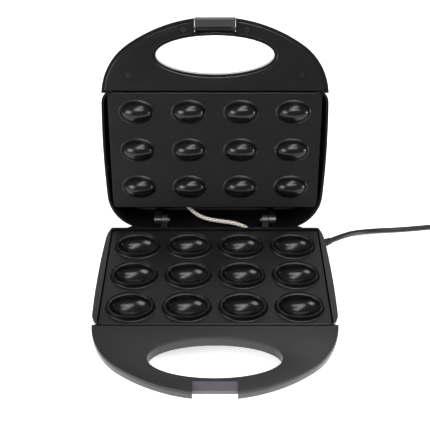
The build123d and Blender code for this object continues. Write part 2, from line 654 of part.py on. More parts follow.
def plug_pins():
    x, y, z = PLUG_START
    end = y + PLUG_LENGTH
    pins = []
    for side in (1, -1):
        pin = Pos(x + side * PLUG_PIN_PITCH / 2, end + PLUG_PIN_LENGTH / 2 - 3, z) * Rot(90, 0, 0)
        pin *= Cylinder(PLUG_PIN_R, PLUG_PIN_LENGTH + 6)
        pins.append(chamfer(pin.edges().sort_by(Axis.Y)[-1], 0.8))
    return group(pins)


def base_wiring():
    """Leads inside the base, from the cord's inner end to the terminals and the elements."""
    x0, x1, y0, y1, z0, z1 = TERMINALS
    mid = (z0 + z1) / 2 - 1
    frame = exit_frame()
    inner = frame.origin - frame.z_dir * TAIL_INSET
    bend = inner - frame.z_dir * 9.0
    tail = [(inner.X, inner.Y, inner.Z), (bend.X, bend.Y, bend.Z), (76.0, 58.0, mid),
            (x1 + 0.5, 60.0, mid)]
    pin_x = -ELEMENT_END_X + 1 - COLD_PIN_LENGTH
    z = element_z(PLATE_Z - PLATE_THICKNESS, -1)
    left = [(x0 - 0.5, 60.0, mid), (-60.0, 60.0, 12.0), (-88.0, 40.0, 14.0),
            (pin_x + 1, 26.0, 20.0), (pin_x + 1, ROW_PITCH / 2, z - COLD_PIN_R - WIRE_R)]
    lead = path_tube(tail, bend_radii(tail), CORD_R - 0.3)
    wire = path_tube(left, bend_radii(left), WIRE_R)
    return group([lead, wire])


# --- lid -------------------------------------------------------------------------------------------------
def lid_shell():
    tub = drafted(plan(0, TUB_FRONT_Y), LID_RIM_Z, LID_HEIGHT, 1)
    tub = fillet(tub.faces().sort_by(Axis.Z)[-1].edges(), EDGE_ROUND)
    inner = drafted(plan(WALL, TUB_FRONT_Y), LID_RIM_Z, LID_HEIGHT - WALL, 1)
    inner = fillet(inner.faces().sort_by(Axis.Z)[-1].edges(), EDGE_ROUND - WALL)
    grip = extrude(Pos(0, 0, LID_RIM_Z) * plan(), HANDLE_THICKNESS)
    grip = fillet(grip.faces().sort_by(Axis.Z)[-1].edges(), 3.5)
    grip -= block(-FAR, FAR, TUB_FRONT_Y + 4, FAR, 0, 100)
    trough = extrude(Pos(0, 0, LID_RIM_Z - 1) * plan(WALL), HANDLE_THICKNESS - WALL + 1)
    trough -= block(-FAR, FAR, TUB_FRONT_Y + 1, FAR, 0, 100)
    wall_a, wall_b = LID_GRIP_A + GRIP_WALL, LID_GRIP_B + GRIP_WALL
    trough -= oval(wall_a, wall_b, 0, GRIP_Y, 0, 100)
    shell = tub + grip - inner - trough
    seat = extrude(Pos(0, 0, LID_RIM_Z - 1) * plan(WALL), PANEL_THICKNESS + PANEL_FIT + 1)
    shell -= seat & block(-FAR, FAR, TUB_FRONT_Y - 2, PLATE_FRONT_Y, 0, 100)
    shell -= plate_pocket(LID_PLATE_Z - PLATE_FIT, LID_PLATE_Z + PLATE_THICKNESS + PLATE_FIT)
    shell -= oval(LID_GRIP_A, LID_GRIP_B, 0, GRIP_Y, 0, 100)
    slot, wall_y = LATCH_SLOT / 2, GRIP_Y - LID_GRIP_B - GRIP_WALL
    for side in (1, -1):
        cheek = block(*sorted((side * slot, side * (slot + CHEEK))), NOSE_Y + 2.3, wall_y + 1,
                      LID_RIM_Z, HANDLE_OVER_Z - 1)
        boss_x = sorted((side * slot, side * (slot + 4.5)))
        shell += cheek + rod_x(*boss_x, LATCH_PIVOT_Y, LATCH_PIVOT_Z, 2.6)
    shell -= block(-slot, slot, -FAR, wall_y - 0.6, 0, 100)
    shell -= rod_x(-slot - 3.6, slot + 3.6, LATCH_PIVOT_Y, LATCH_PIVOT_Z, LATCH_PIN_R + RUNNING_FIT)
    for x, y in PANEL_SCREWS:
        base_z = LID_RIM_Z + PANEL_THICKNESS
        shell += rod(x, y, base_z, HANDLE_OVER_Z - 1, PANEL_BOSS_R)
        shell -= rod(x, y, base_z - 1, base_z + PANEL_SCREW_LENGTH + 0.5,
                     PANEL_SCREW_R + THREAD_FIT)
    ear_in = BASE_EAR_X + BASE_EAR_WIDTH + EAR_GAP
    for side in (1, -1):
        ear_x = sorted((side * ear_in, side * (ear_in + LID_EAR_WIDTH)))
        rib = block(*ear_x, HINGE_Y - HINGE_EAR_R, 200, LID_RIM_Z + 1, LID_TOP_Z - EDGE_ROUND - 1)
        rib &= drafted(plan(WALL / 2), LID_RIM_Z, LID_HEIGHT, 1)
        rib += block(*ear_x, HINGE_Y - HINGE_EAR_R, HINGE_Y + HINGE_EAR_R, HINGE_Z, LID_RIM_Z + 2)
        shell += rib + rod_x(*ear_x, HINGE_Y, HINGE_Z, HINGE_EAR_R)
        shell -= rod_x(*ear_x, HINGE_Y, HINGE_Z, HINGE_PIN_R + RUNNING_FIT)
        shell -= rod(side * LAMP_X, LAMP_Y, 60, 100, LAMP_R + THREAD_FIT)
    for x, y in corners(78.0, 42.0):
        shell += rod(x, y, LID_SHIELD_Z + SHIELD_THICKNESS, LID_TOP_Z - 1, 4.0)
    return lid_open(shell)


def lid_handle_panel():
    a, b = LID_GRIP_A + GRIP_WALL + PANEL_FIT, LID_GRIP_B + GRIP_WALL + PANEL_FIT
    z1 = LID_RIM_Z + PANEL_THICKNESS
    panel = handle_panel(WALL + PANEL_FIT, a, b, LID_RIM_Z, z1)
    slot = LATCH_SLOT / 2 + CHEEK + PANEL_FIT
    panel -= block(-slot, slot, -FAR, GRIP_Y, 0, 100)
    low = panel.faces().sort_by(Axis.Z)[0]
    panel = fillet(low.edges().filter_by(GeomType.LINE, reverse=True), 1.0)
    for x, y in PANEL_SCREWS:
        panel -= rod(x, y, LID_RIM_Z - 1, LID_RIM_Z + PANEL_SEAT,
                     PANEL_SCREW_HEAD_R + 0.6)
        panel -= rod(x, y, LID_RIM_Z - 1, z1 + 1, PANEL_SCREW_R + 0.2)
    return lid_open(panel)


def lid_handle_screws():
    screws = []
    seat = LID_RIM_Z + PANEL_SEAT
    for x, y in PANEL_SCREWS:
        screw = rod(x, y, seat, seat + PANEL_SCREW_LENGTH, PANEL_SCREW_R)
        screw += rod(x, y, seat - 1.0, seat, PANEL_SCREW_HEAD_R)
        for angle in (0, 90):
            screw -= Pos(x, y, seat - 1.0) * Rot(0, 0, angle) * Box(3.4, 0.7, 1.0)
        screws.append(lid_open(screw))
    return group(screws)


def lid_plate_screws():
    head = LID_SHIELD_Z + SHIELD_THICKNESS
    return group([lid_open(plate_screw(x, y, head, head - 9)) for x, y in corners(BOSS_X, BOSS_Y)])


def lamp_lens(side):
    x = side * LAMP_X
    lens = rod(x, LAMP_Y, LID_TOP_Z - 5, LID_TOP_Z + 0.1, LAMP_R)
    cap = rod(x, LAMP_Y, LID_TOP_Z + 0.1, LID_TOP_Z + 2.0, LAMP_R + 1.2)
    cap = fillet(cap.faces().sort_by(Axis.Z)[-1].edges(), 1.7)
    return lid_open(lens + cap)


def neon_lamps():
    lamps = []
    for side in (1, -1):
        top = LID_TOP_Z - 5.1
        lamp = rod(side * LAMP_X, LAMP_Y, top - 9, top, LAMP_BODY_R)
        for lead in (1, -1):
            lamp += rod(side * LAMP_X + lead, LAMP_Y, top - 11.5, top - 9, 0.35)
        lamps.append(lid_open(lamp))
    return group(lamps)


def lid_wiring():
    """Leads behind the lid's heat shield, from the lamps and the element to the sleeve."""
    z = LID_SHIELD_Z + 6.0
    pin_x = -ELEMENT_END_X + 1 - COLD_PIN_LENGTH
    pin_z = element_z(LID_PLATE_Z + PLATE_THICKNESS, 1)
    one = [(0.0, LAMP_Y + 1, z), (-6.0, -10.0, z), (-20.0, 30.0, z), (-31.0, 58.0, z),
           (-33.0, 62.5, z - 3)]
    two = [(pin_x + 1, ROW_PITCH / 2, pin_z + COLD_PIN_R + WIRE_R), (pin_x + 1, 24.0, z),
           (-84.0, 46.0, z + 3), (-60.0, 56.0, z + 2), (-37.0, 62.5, z - 2)]
    return group([lid_open(path_tube(p, bend_radii(p), WIRE_R)) for p in (one, two)])


# --- latch --------------------------------------------------------------------------------------------------
def latch():
    half = LATCH_SLOT / 2 - LATCH_FIT
    front = NOSE_Y + 0.6
    hook_top = BASE_RIM_Z - CATCH_TOP_DROP - CATCH_LIP - HOOK_CLEARANCE
    low = hook_top - HOOK_THICKNESS
    face = block(-half, half, front, front + LATCH_WALL, low, HANDLE_OVER_Z)
    face = fillet(face.edges().filter_by(Axis.X).group_by(Axis.Y)[0], 1.3)
    top = block(-half, half, front + 1, LATCH_PIVOT_Y, HANDLE_OVER_Z - 1.5, HANDLE_OVER_Z)
    hook_half = NOTCH_WIDTH / 2 - 2 * NOTCH_FIT
    hook = block(-hook_half, hook_half, front + 1, front + LATCH_WALL + HOOK_REACH, low, hook_top)
    for side in (1, -1):
        narrow = sorted((side * (NOTCH_WIDTH / 2 - NOTCH_FIT), side * (half + 1)))
        face -= block(*narrow, front - 1, front + LATCH_WALL + 1, low - 1, LID_RIM_Z)
    body = face + top + hook
    room, room_r = LATCH_SPRING_ROOM
    body += rod_x(-half, half, LATCH_PIVOT_Y, LATCH_PIVOT_Z, LATCH_HUB_R)
    for side in (1, -1):
        web_x = sorted((side * room, side * half))
        body += block(*web_x, front + 1, LATCH_PIVOT_Y, LATCH_PIVOT_Z, HANDLE_OVER_Z - 1)
    body -= rod_x(-half - 1, half + 1, LATCH_PIVOT_Y, LATCH_PIVOT_Z, LATCH_PIN_R + RUNNING_FIT)
    body -= rod_x(-room, room, LATCH_PIVOT_Y, LATCH_PIVOT_Z, room_r)
    return lid_open(body)


def latch_pin():
    reach = LATCH_SLOT / 2 + 3.4
    return lid_open(rod_x(-reach, reach, LATCH_PIVOT_Y, LATCH_PIVOT_Z, LATCH_PIN_R))


def latch_spring():
    coil_r = LATCH_PIN_R + 0.25 + SPRING_WIRE_R
    helix = Helix(pitch=3 * SPRING_WIRE_R, height=SPRING_LENGTH, radius=coil_r)
    start = Plane(origin=helix @ 0, z_dir=helix % 0)
    coil = sweep(start * Circle(SPRING_WIRE_R), path=helix, is_frenet=True)
    coil = Rot(0, 90, 0) * Pos(0, 0, -SPRING_LENGTH / 2) * coil
    return lid_open(Pos(0, LATCH_PIVOT_Y, LATCH_PIVOT_Z) * coil)


# --- sleeve that crosses the hinge ------------------------------------------------------------------------------
def wire_sleeve():
    radii = bend_radii(SLEEVE_ROUTE)
    return path_tube(SLEEVE_ROUTE, radii, SLEEVE_R)


nodes = {
    "base_shell": base_shell(),
    "base_handle_panel": base_handle_panel(),
    "latch_catch": latch_catch(),
    "base_mould_plate": base_mould_plate(),
    "base_heating_element": heating_element(PLATE_Z - PLATE_THICKNESS, -1),
    "base_heat_shield": heat_shield(SHIELD_Z, 1),
    "base_plate_screws": group([
        plate_screw(x, y, FLOOR_Z, SHIELD_Z + 11) for x, y in corners(BOSS_X, BOSS_Y)]),
    "thermostat": thermostat(),
    "thermostat_screws": thermostat_screws(),
    "thermal_fuse": thermal_fuse(),
    "fuse_clip": fuse_clip(),
    "terminal_block": terminal_block(),
    "base_wiring": base_wiring(),
    "rubber_feet": rubber_feet(),
    "hinge_pins": hinge_pins(),
    "wire_sleeve": wire_sleeve(),
    "strain_relief": strain_relief(),
    "lid_shell": lid_shell(),
    "lid_handle_panel": lid_handle_panel(),
    "lid_handle_screws": lid_handle_screws(),
    "lid_mould_plate": lid_open(lid_mould_plate()),
    "lid_heating_element": lid_open(heating_element(LID_PLATE_Z + PLATE_THICKNESS, 1)),
    "lid_heat_shield": lid_open(heat_shield(LID_SHIELD_Z + SHIELD_THICKNESS, -1)),
    "lid_plate_screws": lid_plate_screws(),
    "lamp_lens_red": lamp_lens(-1),
    "lamp_lens_green": lamp_lens(1),
    "neon_lamps": neon_lamps(),
    "lid_wiring": lid_wiring(),
    "latch": latch(),
    "latch_pin": latch_pin(),
    "latch_spring": latch_spring(),
}
cord_nodes = {
    "power_cord": cord_tube("power_cord", cord_points()),
    "power_cord_coil": power_cord_coil(),
    "plug_lead": cord_tube("plug_lead", plug_cord_points()),
    "cord_tie": cord_tie(),
    "plug_body": plug_body(),
    "plug_pins": plug_pins(),
}

# The origin is on the table, under the centre of the open appliance without its cord.
boxes = [shape.bounding_box() for shape in nodes.values()]
middle_y = (min(b.min.Y for b in boxes) + max(b.max.Y for b in boxes)) / 2
print("middle_y", round(middle_y, 4))
for name, shape in {**nodes, **cord_nodes}.items():
    export_step(Pos(0, -middle_y, 0) * shape, f"parts/{name}.step")
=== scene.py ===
from math import cos, radians, sin, tau

import bmesh
import bpy
from mathutils import Matrix, Vector


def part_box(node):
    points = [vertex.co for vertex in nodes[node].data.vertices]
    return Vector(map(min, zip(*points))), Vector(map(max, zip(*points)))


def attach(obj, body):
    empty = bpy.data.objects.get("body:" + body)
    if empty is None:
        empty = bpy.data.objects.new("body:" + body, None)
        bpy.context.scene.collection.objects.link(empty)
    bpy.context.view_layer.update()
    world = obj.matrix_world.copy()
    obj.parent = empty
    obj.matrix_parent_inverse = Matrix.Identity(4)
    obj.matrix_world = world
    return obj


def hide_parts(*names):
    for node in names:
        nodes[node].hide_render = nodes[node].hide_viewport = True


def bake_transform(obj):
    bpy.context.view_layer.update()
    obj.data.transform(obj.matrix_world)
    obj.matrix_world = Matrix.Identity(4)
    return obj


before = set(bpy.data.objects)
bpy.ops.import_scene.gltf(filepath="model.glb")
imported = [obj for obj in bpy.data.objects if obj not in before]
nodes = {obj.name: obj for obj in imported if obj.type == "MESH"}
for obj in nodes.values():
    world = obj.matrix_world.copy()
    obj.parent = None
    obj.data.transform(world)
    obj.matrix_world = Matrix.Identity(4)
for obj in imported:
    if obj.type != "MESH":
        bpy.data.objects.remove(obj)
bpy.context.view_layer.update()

scene = bpy.context.scene
MM = 0.001


# --- Studio -------------------------------------------------------------------------------------
# The appliance stands on a seamless white sweep. A large softbox at the front left, two strips
# overhead with a gap between them, one behind and a small one at the right light it.
plate_low, plate_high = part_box("base_mould_plate")
PLATE_SETBACK = 1.5 * MM       # from the middle row of moulds back to the plate's middle
MIDDLE_ROW = (plate_low[1] + plate_high[1]) / 2 - PLATE_SETBACK

CAMERA_BACK, CAMERA_HEIGHT, CAMERA_TILT = 0.40597, 0.50743, 46.29    # m, m, degrees from down
SENSOR_MM, FOCAL_MM, NEAREST = 36.0, 54.42, 0.01
lens = bpy.data.cameras.new("camera")
lens.sensor_width = SENSOR_MM
lens.lens = FOCAL_MM
lens.clip_start = NEAREST
camera = bpy.data.objects.new("camera", lens)
camera.location = (0.0, MIDDLE_ROW - CAMERA_BACK, CAMERA_HEIGHT)
camera.rotation_euler = (radians(CAMERA_TILT), 0.0, 0.0)
scene.collection.objects.link(camera)
scene.camera = camera
scene.view_settings.view_transform = "Standard"


def colour(hex_text):
    """An sRGB colour such as 1c1c1e as the linear colour that a shader takes."""
    parts = [int(hex_text[i:i + 2], 16) / 255 for i in (0, 2, 4)]
    linear = [p / 12.92 if p <= 0.04045 else ((p + 0.055) / 1.055) ** 2.4 for p in parts]
    return (*linear, 1.0)


def add_node(tree, kind, settings=None, **links):
    """Adds a node. settings are its properties; links fill its sockets with values or outputs."""
    node = tree.nodes.new(kind)
    for name, value in (settings or {}).items():
        setattr(node, name, value)
    for name, value in links.items():
        key = int(name[1:]) if name[0] == "_" else name.replace("_", " ")
        socket = node.inputs[key]
        if isinstance(value, bpy.types.NodeSocket):
            tree.links.new(value, socket)
        else:
            socket.default_value = value
    return node


def add_object(name, data):
    piece = bpy.data.objects.new(name, data)
    scene.collection.objects.link(piece)
    return piece


def new_material(name):
    material = bpy.data.materials.new(name)
    material.use_nodes = True
    material.node_tree.nodes.clear()
    return material, material.node_tree


FLOOR_HALF = 12.0              # m
FLOOR_GLOW = 0.58
SKY_GLOW = 0.26
floor_mesh = bpy.data.meshes.new("floor")
floor_mesh.from_pydata([(-FLOOR_HALF, -FLOOR_HALF, 0), (FLOOR_HALF, -FLOOR_HALF, 0),
                        (FLOOR_HALF, FLOOR_HALF, 0), (-FLOOR_HALF, FLOOR_HALF, 0)],
                       [], [(0, 1, 2, 3)])
floor = add_object("floor", floor_mesh)
paper, tree = new_material("seamless_paper")
place = add_node(tree, "ShaderNodeNewGeometry").outputs["Position"]
tooth = add_node(tree, "ShaderNodeTexNoise", Vector=place, Scale=900.0, Detail=2.0)
shade = add_node(tree, "ShaderNodeMix", {"data_type": "RGBA"}, Factor=tooth.outputs["Fac"],
                 _6=colour("f8f8f8"), _7=colour("fdfdfd"))
coat = add_node(tree, "ShaderNodeBsdfPrincipled", Base_Color=shade.outputs[2], Roughness=0.9,
                Emission_Color=colour("ffffff"), Emission_Strength=FLOOR_GLOW)
add_node(tree, "ShaderNodeOutputMaterial", Surface=coat.outputs[0])
floor_mesh.materials.append(paper)

world = bpy.data.worlds.new("studio")
scene.world = world
world.use_nodes = True
sky = world.node_tree.nodes["Background"]
sky.inputs["Color"].default_value = colour("ffffff")
sky.inputs["Strength"].default_value = SKY_GLOW

# Place, width and height in metres, and power in watts.
SOFTBOXES = {
    "front_left": ((-1.20, -0.95, 0.80), (0.9, 0.8), 18.0),
    "overhead_front": ((0.20, -0.74, 1.44), (1.3, 0.44), 12.0),
    "overhead_rear": ((0.20, -0.12, 1.56), (1.3, 0.44), 12.0),
    "right_box": ((1.50, -0.10, 0.20), (0.30, 0.30), 5.0),
    "behind": ((0.05, 1.60, 1.70), (1.8, 0.8), 6.0),
}
AIM = Vector((0.0, 0.0, 0.08))
for name, (place, (wide, high), watts) in SOFTBOXES.items():
    lamp = bpy.data.lights.new(name, "AREA")
    lamp.shape = "RECTANGLE"
    lamp.size, lamp.size_y, lamp.energy = wide, high, watts
    box = add_object(name, lamp)
    box.location = place
    box.rotation_euler = (AIM - Vector(place)).to_track_quat("-Z", "Y").to_euler()


# --- Base housing -------------------------------------------------------------------------------
# A deep tray of black ABS with the handle moulded in one piece with it. Spark erosion in the
# mould leaves a close satin grain on the outside, and every edge is slightly rounded.


def moulded(name, base, rough, grain_mm=0.4, grain=0.2, drift=0.05, cloud_base=None):
    """Moulded plastic: an even body colour, a fine grain and a slow drift in its gloss."""
    material, tree = new_material(name)
    place = add_node(tree, "ShaderNodeNewGeometry").outputs["Position"]
    fine = add_node(tree, "ShaderNodeTexNoise", Vector=place, Scale=1 / (grain_mm * MM), Detail=3.0)
    cloud = add_node(tree, "ShaderNodeTexNoise", Vector=place, Scale=1 / (60 * MM), Detail=2.0)
    gloss = add_node(tree, "ShaderNodeMapRange", Value=cloud.outputs["Fac"],
                     To_Min=rough - drift, To_Max=rough + drift)
    shade = add_node(tree, "ShaderNodeMix", {"data_type": "RGBA"}, Factor=cloud.outputs["Fac"],
                     _6=colour(base), _7=colour(cloud_base or base))
    bump = add_node(tree, "ShaderNodeBump", Height=fine.outputs["Fac"], Strength=grain,
                    Distance=0.02 * MM)
    coat = add_node(tree, "ShaderNodeBsdfPrincipled", Base_Color=shade.outputs[2],
                    Roughness=gloss.outputs[0], Normal=bump.outputs[0], IOR=1.5)
    add_node(tree, "ShaderNodeOutputMaterial", Surface=coat.outputs[0])
    return material


SHARP_ANGLE = 32.0
WELD_REACH = 0.01 * MM


def finish_node(node, material):
    """Gives a CAD piece its material, and soft shading over its curved faces."""
    piece = nodes[node]
    piece.data.materials.clear()
    piece.data.materials.append(material)
    for face in piece.data.polygons:
        face.material_index = 0
        face.use_smooth = True
    weld = piece.modifiers.new("weld", "WELD")
    weld.merge_threshold = WELD_REACH
    edges = piece.modifiers.new("edges", "EDGE_SPLIT")
    edges.split_angle = radians(SHARP_ANGLE)


finish_node("base_shell",
            moulded("housing_abs_satin", "0c0c0e", 0.32, 0.35, 0.25, cloud_base="101012"))
finish_node("rubber_feet", moulded("foot_rubber", "1b1b1b", 0.7, 0.3, 0.5))

# --- Base handle panel and catch ----------------------------------------------------------------
# A flat black ABS cover closes the base's handle from above; its satin turns grey in the light.
# The catch in the notch at its front is a smoother, slightly paler insert.
finish_node("base_handle_panel",
            moulded("handle_abs_satin", "09090c", 0.42, 0.3, 0.3, cloud_base="0d0d11"))
finish_node("latch_catch", moulded("catch_abs_gloss", "4a464d", 0.35, 0.4, 0.1))

# --- Base mould plate ---------------------------------------------------------------------------
# An aluminium casting with a sprayed, baked non-stick coat. Twelve oval bowls stand in low
# collars. The coat is matt on the flats, and it flows smooth inside the bowls.
COLUMNS, ROWS = 4, 3
COLUMN_PITCH, ROW_PITCH = 51.0, 38.0
PLATE_HALF, PLATE_FRONT, PLATE_REAR = 104.4, -57.3, 60.3
PLATE_CORNER, PLATE_THICKNESS = 3.0, 3.0
SIDE_STEPS, END_STEPS = 28, 20
FLAT_INSET = 1.6               # where the flat face ends and the rounded edge starts
SAME_POINT = 0.001             # vertices nearer than this are one
ALL_MATT = 99                  # more rings than any side has, so none of them is smooth
# Inset from the plate's outline, and height.
EDGE_PROFILE = [(1.0, 0.0), (0.7, -0.05), (0.4, -0.2), (0.15, -0.5), (0.0, -1.0),
                (0.0, -PLATE_THICKNESS)]


def nonstick(name, base, rough, speck):
    """Baked coat: nearly black, with the fine orange peel of the spray gun."""
    material, tree = new_material(name)
    place = add_node(tree, "ShaderNodeNewGeometry").outputs["Position"]
    spray = add_node(tree, "ShaderNodeTexNoise", Vector=place, Scale=1 / (0.6 * MM), Detail=3.0)
    cloud = add_node(tree, "ShaderNodeTexNoise", Vector=place, Scale=1 / (25 * MM), Detail=3.0)
    gloss = add_node(tree, "ShaderNodeMapRange", Value=cloud.outputs["Fac"],
                     To_Min=rough - 0.04, To_Max=rough + 0.06)
    shade = add_node(tree, "ShaderNodeMix", {"data_type": "RGBA"}, Factor=spray.outputs["Fac"],
                     _6=colour(base), _7=colour(speck))
    bump = add_node(tree, "ShaderNodeBump", Height=spray.outputs["Fac"], Strength=0.25,
                    Distance=0.02 * MM)
    coat = add_node(tree, "ShaderNodeBsdfPrincipled", Base_Color=shade.outputs[2],
                    Roughness=gloss.outputs[0], Normal=bump.outputs[0], IOR=1.4)
    add_node(tree, "ShaderNodeOutputMaterial", Surface=coat.outputs[0])
    return material


def edge_point(x, y, inset):
    """A point of the plate's outline at FLAT_INSET, moved out or in to another inset."""
    middle = (PLATE_FRONT + PLATE_REAR) / 2
    half_y = (PLATE_REAR - PLATE_FRONT) / 2
    x *= (PLATE_HALF - inset) / (PLATE_HALF - FLAT_INSET)
    y = middle + (y - middle) * (half_y - inset) / (half_y - FLAT_INSET)
    radius = PLATE_CORNER - inset
    centre_x, centre_y = PLATE_HALF - PLATE_CORNER, half_y - PLATE_CORNER
    beyond_x, beyond_y = abs(x) - centre_x, abs(y - middle) - centre_y
    if beyond_x > 0 and beyond_y > 0:
        shrink = radius / (beyond_x ** 2 + beyond_y ** 2) ** 0.5
        x = (centre_x + beyond_x * shrink) * (1 if x > 0 else -1)
        y = middle + (centre_y + beyond_y * shrink) * (1 if y > middle else -1)
    return x, y


def cell_outline(column, row):
    """Points round the rectangle of plate that belongs to one mould, from the middle of +X."""
    x0 = (column - COLUMNS / 2) * COLUMN_PITCH
    x1 = (column + 1 - COLUMNS / 2) * COLUMN_PITCH
    y0 = (row - ROWS / 2) * ROW_PITCH
    y1 = (row + 1 - ROWS / 2) * ROW_PITCH
    x0 = x0 if column else -PLATE_HALF + FLAT_INSET
    x1 = x1 if column < COLUMNS - 1 else PLATE_HALF - FLAT_INSET
    y0 = y0 if row else PLATE_FRONT + FLAT_INSET
    y1 = y1 if row < ROWS - 1 else PLATE_REAR - FLAT_INSET
    right = [(x1, y0 + (y1 - y0) * i / END_STEPS) for i in range(END_STEPS)]
    top = [(x1 + (x0 - x1) * i / SIDE_STEPS, y1) for i in range(SIDE_STEPS)]
    left = [(x0, y1 + (y0 - y1) * i / END_STEPS) for i in range(END_STEPS)]
    low = [(x0 + (x1 - x0) * i / SIDE_STEPS, y0) for i in range(SIDE_STEPS)]
    half = END_STEPS // 2
    return right[half:] + top + left + low + right[:half]


def add_sheet(mesh, rings, level, inset, smooth_from, upward=True):
    """One side of a plate: twelve cells, each a flat round its rings (half length, half width,
    height). Faces inside ring smooth_from take the second material."""
    count = 2 * (SIDE_STEPS + END_STEPS)
    for column in range(COLUMNS):
        for row in range(ROWS):
            x0 = (column - (COLUMNS - 1) / 2) * COLUMN_PITCH
            y0 = (row - (ROWS - 1) / 2) * ROW_PITCH
            outline = [edge_point(x, y, inset) if on_edge(x, y) else (x, y)
                       for x, y in cell_outline(column, row)]
            loops = [[mesh.verts.new((x, y, level)) for x, y in outline]]
            for a, b, height in rings:
                loops.append([mesh.verts.new((x0 + a * cos(tau * i / count),
                                              y0 + b * sin(tau * i / count), height))
                              for i in range(count)])
            for level_index, (outer, inner) in enumerate(zip(loops, loops[1:])):
                for i in range(count):
                    j = (i + 1) % count
                    corners = [outer[i], outer[j], inner[j], inner[i]]
                    face = mesh.faces.new(corners if upward else corners[::-1])
                    face.material_index = 1 if level_index >= smooth_from else 0
            cap = mesh.faces.new(loops[-1] if upward else loops[-1][::-1])
            cap.material_index = 1 if smooth_from < len(rings) else 0


def on_edge(x, y):
    """Whether a point at FLAT_INSET lies on the outer edge, and not between two moulds."""
    reach = FLAT_INSET + 10 * SAME_POINT
    return (abs(x) > PLATE_HALF - reach or y < PLATE_FRONT + reach or y > PLATE_REAR - reach)


def cast_plate(name, face_rings, smooth_from, back_rings, materials, to_world):
    """A closed mesh of a plate: moulded face, rounded edge and back. to_world places it."""
    mesh = bmesh.new()
    add_sheet(mesh, face_rings, 0.0, FLAT_INSET, smooth_from)
    bmesh.ops.remove_doubles(mesh, verts=mesh.verts, dist=SAME_POINT)
    edge = [e for e in mesh.edges if e.is_boundary]
    before = FLAT_INSET
    flat = {v: (v.co.x, v.co.y) for e in edge for v in e.verts}
    for inset, height in EDGE_PROFILE:
        made = bmesh.ops.extrude_edge_only(mesh, edges=edge)["geom"]
        old = {(round(v.co.x, 4), round(v.co.y, 4), round(v.co.z, 4)): flat[v] for v in flat}
        fresh = {}
        for v in [g for g in made if isinstance(g, bmesh.types.BMVert)]:
            x, y = old[(round(v.co.x, 4), round(v.co.y, 4), round(v.co.z, 4))]
            fresh[v] = (x, y)
            v.co = (*edge_point(x, y, inset), height)
        flat = fresh
        edge = [g for g in made if isinstance(g, bmesh.types.BMEdge)]
        edge = [e for e in edge if e.verts[0] in fresh and e.verts[1] in fresh and e.is_boundary]
    add_sheet(mesh, back_rings, -PLATE_THICKNESS, 0.0, ALL_MATT, upward=False)
    bmesh.ops.remove_doubles(mesh, verts=mesh.verts, dist=SAME_POINT)
    for face in mesh.faces:
        face.smooth = True
    bmesh.ops.transform(mesh, matrix=to_world, verts=mesh.verts)
    bmesh.ops.recalc_face_normals(mesh, faces=mesh.faces)
    data = bpy.data.meshes.new(name)
    mesh.to_mesh(data)
    mesh.free()
    for material in materials:
        data.materials.append(material)
    return add_object(name, data)


def grown(a, b, profile):
    """Rings from a profile of (offset from the oval a by b, height)."""
    return [(a + offset, b + offset, height) for offset, height in profile]


def rounded(a, b, depth, level, first, last=86.0, steps=14):
    """Rings of half an ellipsoid, from an angle near its rim to one near its pole."""
    rings = []
    for i in range(steps + 1):
        angle = radians(first + (last - first) * i / steps)
        rings.append((a * cos(angle), b * cos(angle), level + depth * sin(angle)))
    return rings


flat_coat = nonstick("ptfe_flat", "0a0a0b", 0.34, "0e0e0f")
smooth_coat = nonstick("ptfe_flowed", "090909", 0.21, "0d0d0e")
BOWL_A, BOWL_B, BOWL_DEPTH, BOWL_RIM = 18.6, 12.1, 10.8, 3.0
BOWL_WALL, COLLAR_REACH = 2.4, 4.5
BOWL_FIRST_ANGLE, BOWL_BACK_ANGLE = 5.0, 28.0
BASE_FACE_Z, LID_FACE_Z = 40.0, 45.3
# Offset from the bowl's oval, and height.
COLLAR_PROFILE = [
    (4.9, 0.0), (4.5, 0.0), (4.05, 0.1), (3.7, 0.4), (3.45, 0.9), (3.1, 2.8), (2.9, 4.1),
    (2.8, 4.65), (2.68, 4.9), (2.52, 5.0), (2.36, 4.94), (2.24, 4.7), (2.1, 4.0), (2.0, 3.5),
    (1.85, 3.2), (1.55, 3.08), (0.9, 3.03), (0.35, 2.95), (0.06, 2.6),
]
bowl = grown(BOWL_A, BOWL_B, COLLAR_PROFILE)
bowl += rounded(BOWL_A, BOWL_B, -BOWL_DEPTH, BOWL_RIM, BOWL_FIRST_ANGLE)
bowl_back = [(BOWL_A + COLLAR_REACH, BOWL_B + COLLAR_REACH, -PLATE_THICKNESS)]
bowl_back += rounded(BOWL_A + BOWL_WALL, BOWL_B + BOWL_WALL, -BOWL_DEPTH - BOWL_WALL, BOWL_RIM,
                     BOWL_BACK_ANGLE)
in_metres = Matrix.Translation((0.0, MIDDLE_ROW, 0.0)) @ Matrix.Scale(MM, 4)
base_plate = cast_plate("base_cast_plate", bowl, len(COLLAR_PROFILE) - 1, bowl_back,
                        (flat_coat, smooth_coat), in_metres @ Matrix.Translation((0, 0, BASE_FACE_Z)))
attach(base_plate, "base")
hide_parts("base_mould_plate")

# --- Lid housing --------------------------------------------------------------------------------
# The matching tray for the lid, in the same ABS. Its mould was polished on the inside, so the
# bare wall behind the plate mirrors the studio faintly.
finish_node("lid_shell", moulded("housing_abs_gloss", "0e0e10", 0.2, 0.5, 0.08, drift=0.03))

# --- Lid handle panel, screws and latch ---------------------------------------------------------
# A satin ABS panel closes the lid's handle, held by four screws in recesses, their steel coloured a
# dark grey. The latch is a separate moulding that swings on a steel pin with a small torsion spring.
finish_node("lid_handle_panel",
            moulded("lid_handle_abs", "08080a", 0.26, 0.3, 0.2, cloud_base="0b0b0c"))
finish_node("latch", moulded("latch_abs_satin", "2a2a2c", 0.36, 0.35, 0.2))


